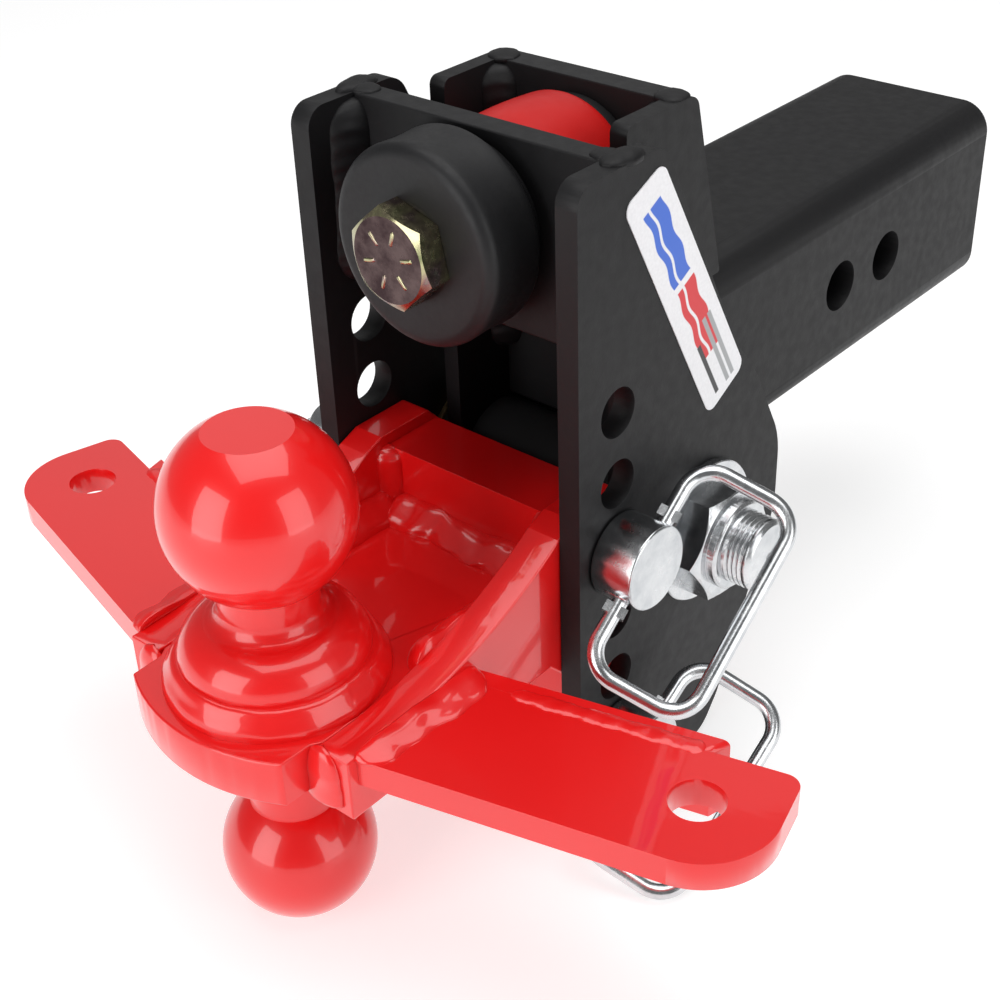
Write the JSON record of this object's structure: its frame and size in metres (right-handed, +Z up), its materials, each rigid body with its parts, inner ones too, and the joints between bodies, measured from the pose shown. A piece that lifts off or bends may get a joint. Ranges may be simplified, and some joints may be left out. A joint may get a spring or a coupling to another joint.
{
  "type": "trailer hitch",
  "caption": "Cushioned receiver hitch: square shank and pivoting frame with a pinned, height adjustable mount carrying a towing ball above and below a plate, and sway control tabs.",
  "frame": {"origin": "centre of the outer receiver pin hole, on the centre line of the shank", "axes": "+Y along the shank towards its free end, +Z up, +X towards the heads of the lock pins"},
  "size_m": [0.315, 0.408, 0.2424],
  "materials": {
    "black_coat": "fine textured satin powder coat",
    "red_coat": "gloss powder coat",
    "zinc_bright": "bright zinc plating",
    "zinc_yellow": "yellow passivated zinc",
    "rubber_black": "moulded matt",
    "polyurethane_red": "moulded satin",
    "bushing_bronze": "plain turned",
    "label_print": "printed film"
  },
  "bodies": {
    "shank_frame": {"back_plate": "black_coat", "cushion_bolt": "zinc_yellow", "cushion_bolt_nut": "zinc_yellow", "cushion_bolt_washer": "zinc_yellow", "pivot_bushing_left": "bushing_bronze", "pivot_bushing_right": "bushing_bronze", "pivot_tube": "black_coat", "rear_cushion": "polyurethane_red", "rear_cushion_seat": "black_coat", "rear_side_plate_left": "black_coat", "rear_side_plate_right": "black_coat", "shank_tube": "black_coat"},
    "front_frame": {"ball_plate": "red_coat", "bottom_ball": "red_coat", "cross_plate": "black_coat", "front_cushion": "rubber_black", "front_cushion_seat": "black_coat", "front_side_plate_left": "black_coat", "front_side_plate_right": "black_coat", "label": "label_print", "mount_block_lower": "red_coat", "mount_block_upper": "red_coat", "mount_side_plate_left": "red_coat", "mount_side_plate_right": "red_coat", "pivot_bolt": "zinc_bright", "pivot_nut": "zinc_bright", "pivot_washer_left": "zinc_bright", "pivot_washer_right": "zinc_bright", "sway_tab_left": "red_coat", "sway_tab_right": "red_coat", "tab_stiffener_left": "red_coat", "tab_stiffener_right": "red_coat", "thrust_washer_left": "bushing_bronze", "thrust_washer_right": "bushing_bronze", "top_ball": "red_coat", "weld_block_front": "red_coat", "weld_front_left": "black_coat", "weld_front_right": "black_coat", "weld_gusset_left": "red_coat", "weld_gusset_right": "red_coat", "weld_plate_left": "red_coat", "weld_plate_right": "red_coat", "weld_tab_left": "red_coat", "weld_tab_right": "red_coat", "weld_top_ball": "red_coat"},
    "lock_pin_upper": {"pin_upper": "zinc_bright"},
    "lock_pin_lower": {"pin_lower": "zinc_bright"},
    "pin_handle_upper": {"handle_upper": "zinc_bright"},
    "pin_handle_lower": {"handle_lower": "zinc_bright"},
    "pin_keeper_upper": {"keeper_upper": "zinc_bright"},
    "pin_keeper_lower": {"keeper_lower": "zinc_bright"}
  },
  "joints": [
    {"name": "rock", "type": "hinge", "parent": "shank_frame", "child": "front_frame", "pos_m": [0, -0.15, -0.0405], "axis": [1, 0, 0], "range_deg": [-2.5, 2.5], "stiffness_Nm_per_rad": 6500, "deforming": ["rear_cushion", "front_cushion"]},
    {"name": "upper_pin_play", "type": "slide", "parent": "front_frame", "child": "lock_pin_upper", "axis": [1, 0, 0], "range_m": [0, 0.0065]},
    {"name": "lower_pin_play", "type": "slide", "parent": "front_frame", "child": "lock_pin_lower", "axis": [1, 0, 0], "range_m": [0, 0.0065]},
    {"name": "upper_handle_swing", "type": "hinge", "parent": "lock_pin_upper", "child": "pin_handle_upper", "pos_m": [0.0665, -0.19595, -0.0253], "axis": [0, 0.7944, 0.6074], "range_deg": [-120, 20]},
    {"name": "lower_handle_swing", "type": "hinge", "parent": "lock_pin_lower", "child": "pin_handle_lower", "pos_m": [0.0665, -0.19595, -0.1015], "axis": [0, 0.866, 0.5], "range_deg": [-125, 60]},
    {"name": "upper_keeper_pull", "type": "slide", "parent": "lock_pin_upper", "child": "pin_keeper_upper", "axis": [0, -1, 0], "range_m": [0, 0.034]},
    {"name": "lower_keeper_pull", "type": "slide", "parent": "lock_pin_lower", "child": "pin_keeper_lower", "axis": [0, -1, 0], "range_m": [0, 0.034]}
  ]
}
